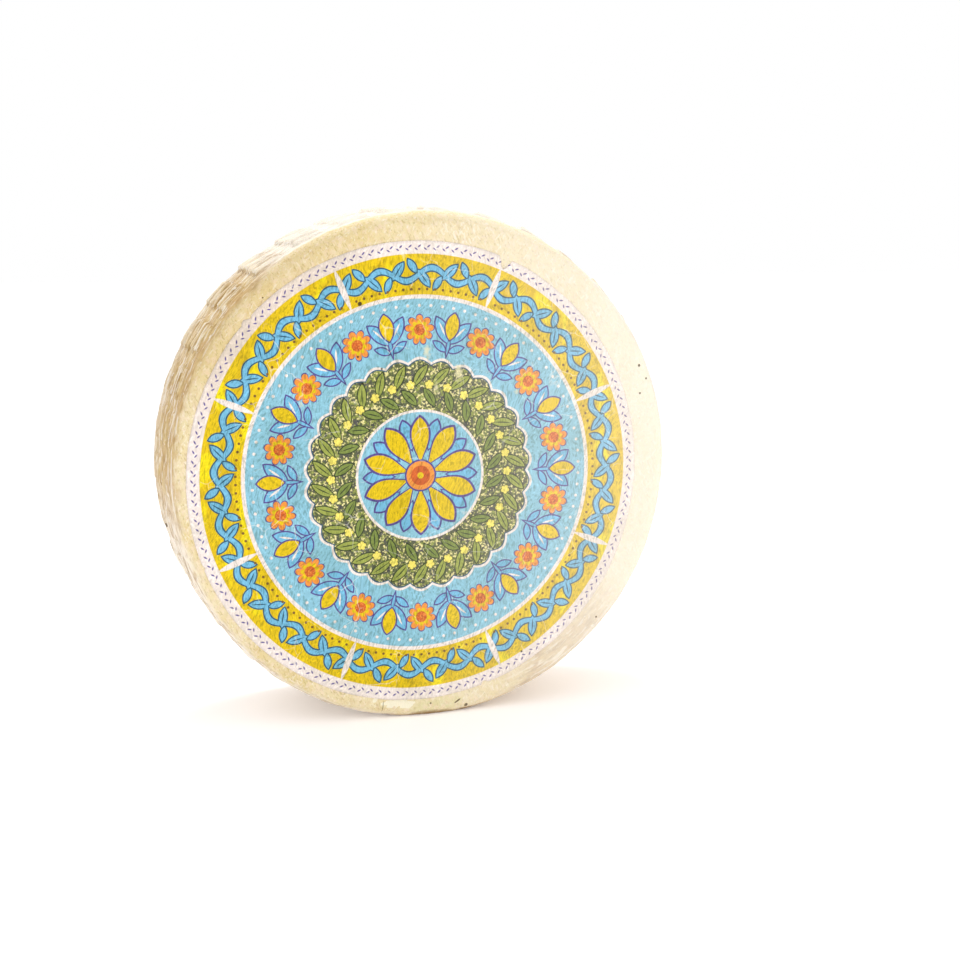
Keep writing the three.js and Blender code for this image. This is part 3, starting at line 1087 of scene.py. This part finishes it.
class CHEESE_OT_make_rind(bpy.types.Operator):
    """Make the wheel's rind with its pressed side wall"""

    bl_idname = "cheese.make_rind"
    bl_label = "Make rind"

    def execute(self, context):
        sizes = context.scene.cheese_rind
        finish_piece(build_rind(sizes), "rind", aged_rind(sizes), "cheese_wheel")
        return {"FINISHED"}


class CHEESE_OT_make_label(bpy.types.Operator):
    """Make the printed label on the front face"""

    bl_idname = "cheese.make_label"
    bl_label = "Make label"

    def execute(self, context):
        sizes = context.scene.cheese_label
        finish_piece(build_label(sizes), "label_film", printed_film(sizes), "label")
        return {"FINISHED"}


class CHEESE_OT_make_studio(bpy.types.Operator):
    """Make the floor, the lights and the camera"""

    bl_idname = "cheese.make_studio"
    bl_label = "Make studio"

    def execute(self, context):
        build_studio(context.scene.cheese_studio)
        return {"FINISHED"}


class CHEESE_PT_wheel(bpy.types.Panel):
    """Lists the settings and what makes each piece"""

    bl_idname = "CHEESE_PT_wheel"
    bl_label = "Cheese wheel"
    bl_space_type = "VIEW_3D"
    bl_region_type = "UI"
    bl_category = "Cheese wheel"

    def draw(self, context):
        for name, operator in zip(SETTINGS, OPERATORS):
            settings = getattr(context.scene, name)
            box = self.layout.box()
            for entry in settings.__annotations__:
                box.prop(settings, entry)
            box.operator(operator.bl_idname)


# The scene's settings, and in the same order the operators that read them
SETTINGS = {"cheese_rind": RindSettings, "cheese_label": LabelSettings, "cheese_studio": StudioSettings}
OPERATORS = (CHEESE_OT_make_rind, CHEESE_OT_make_label, CHEESE_OT_make_studio)
CLASSES = (*SETTINGS.values(), *OPERATORS, CHEESE_PT_wheel)


def register():
    for entry in CLASSES:
        bpy.utils.register_class(entry)
    for name, group in SETTINGS.items():
        setattr(bpy.types.Scene, name, PointerProperty(type=group))


def unregister():
    for name in SETTINGS:
        delattr(bpy.types.Scene, name)
    for entry in reversed(CLASSES):
        bpy.utils.unregister_class(entry)


def main():
    """Make everything in order."""
    register()
    bpy.ops.cheese.make_studio()
    bpy.ops.cheese.make_rind()
    bpy.ops.cheese.make_label()


if __name__ == "__main__":
    main()
